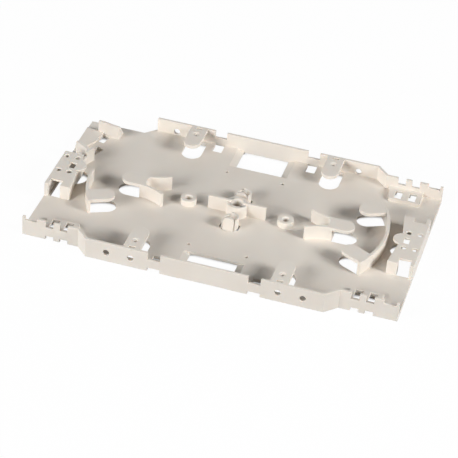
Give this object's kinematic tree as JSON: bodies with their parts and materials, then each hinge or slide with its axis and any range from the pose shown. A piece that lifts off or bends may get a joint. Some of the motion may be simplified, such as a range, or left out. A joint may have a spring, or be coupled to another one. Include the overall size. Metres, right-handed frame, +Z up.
{
  "type": "fibre splice tray",
  "caption": "Shallow moulded tray for coiling and holding optical fibre: side walls with stacking notches, curved guide walls, hold-down tabs over floor windows, central bush and snap posts.",
  "frame": {"origin": "centre of the footprint, on the plane that the foot of the walls rests on", "axes": "+X along the tray, away from the corner where the tubes come in; +Y across the tray, towards the side that has that corner; +Z up out of the open side"},
  "size_m": [0.2, 0.121, 0.0112],
  "materials": {
    "tray_plastic": "ivory moulded plastic, fine satin grain"
  },
  "bodies": {
    "root": {"tray": "tray_plastic"}
  },
  "joints": []
}
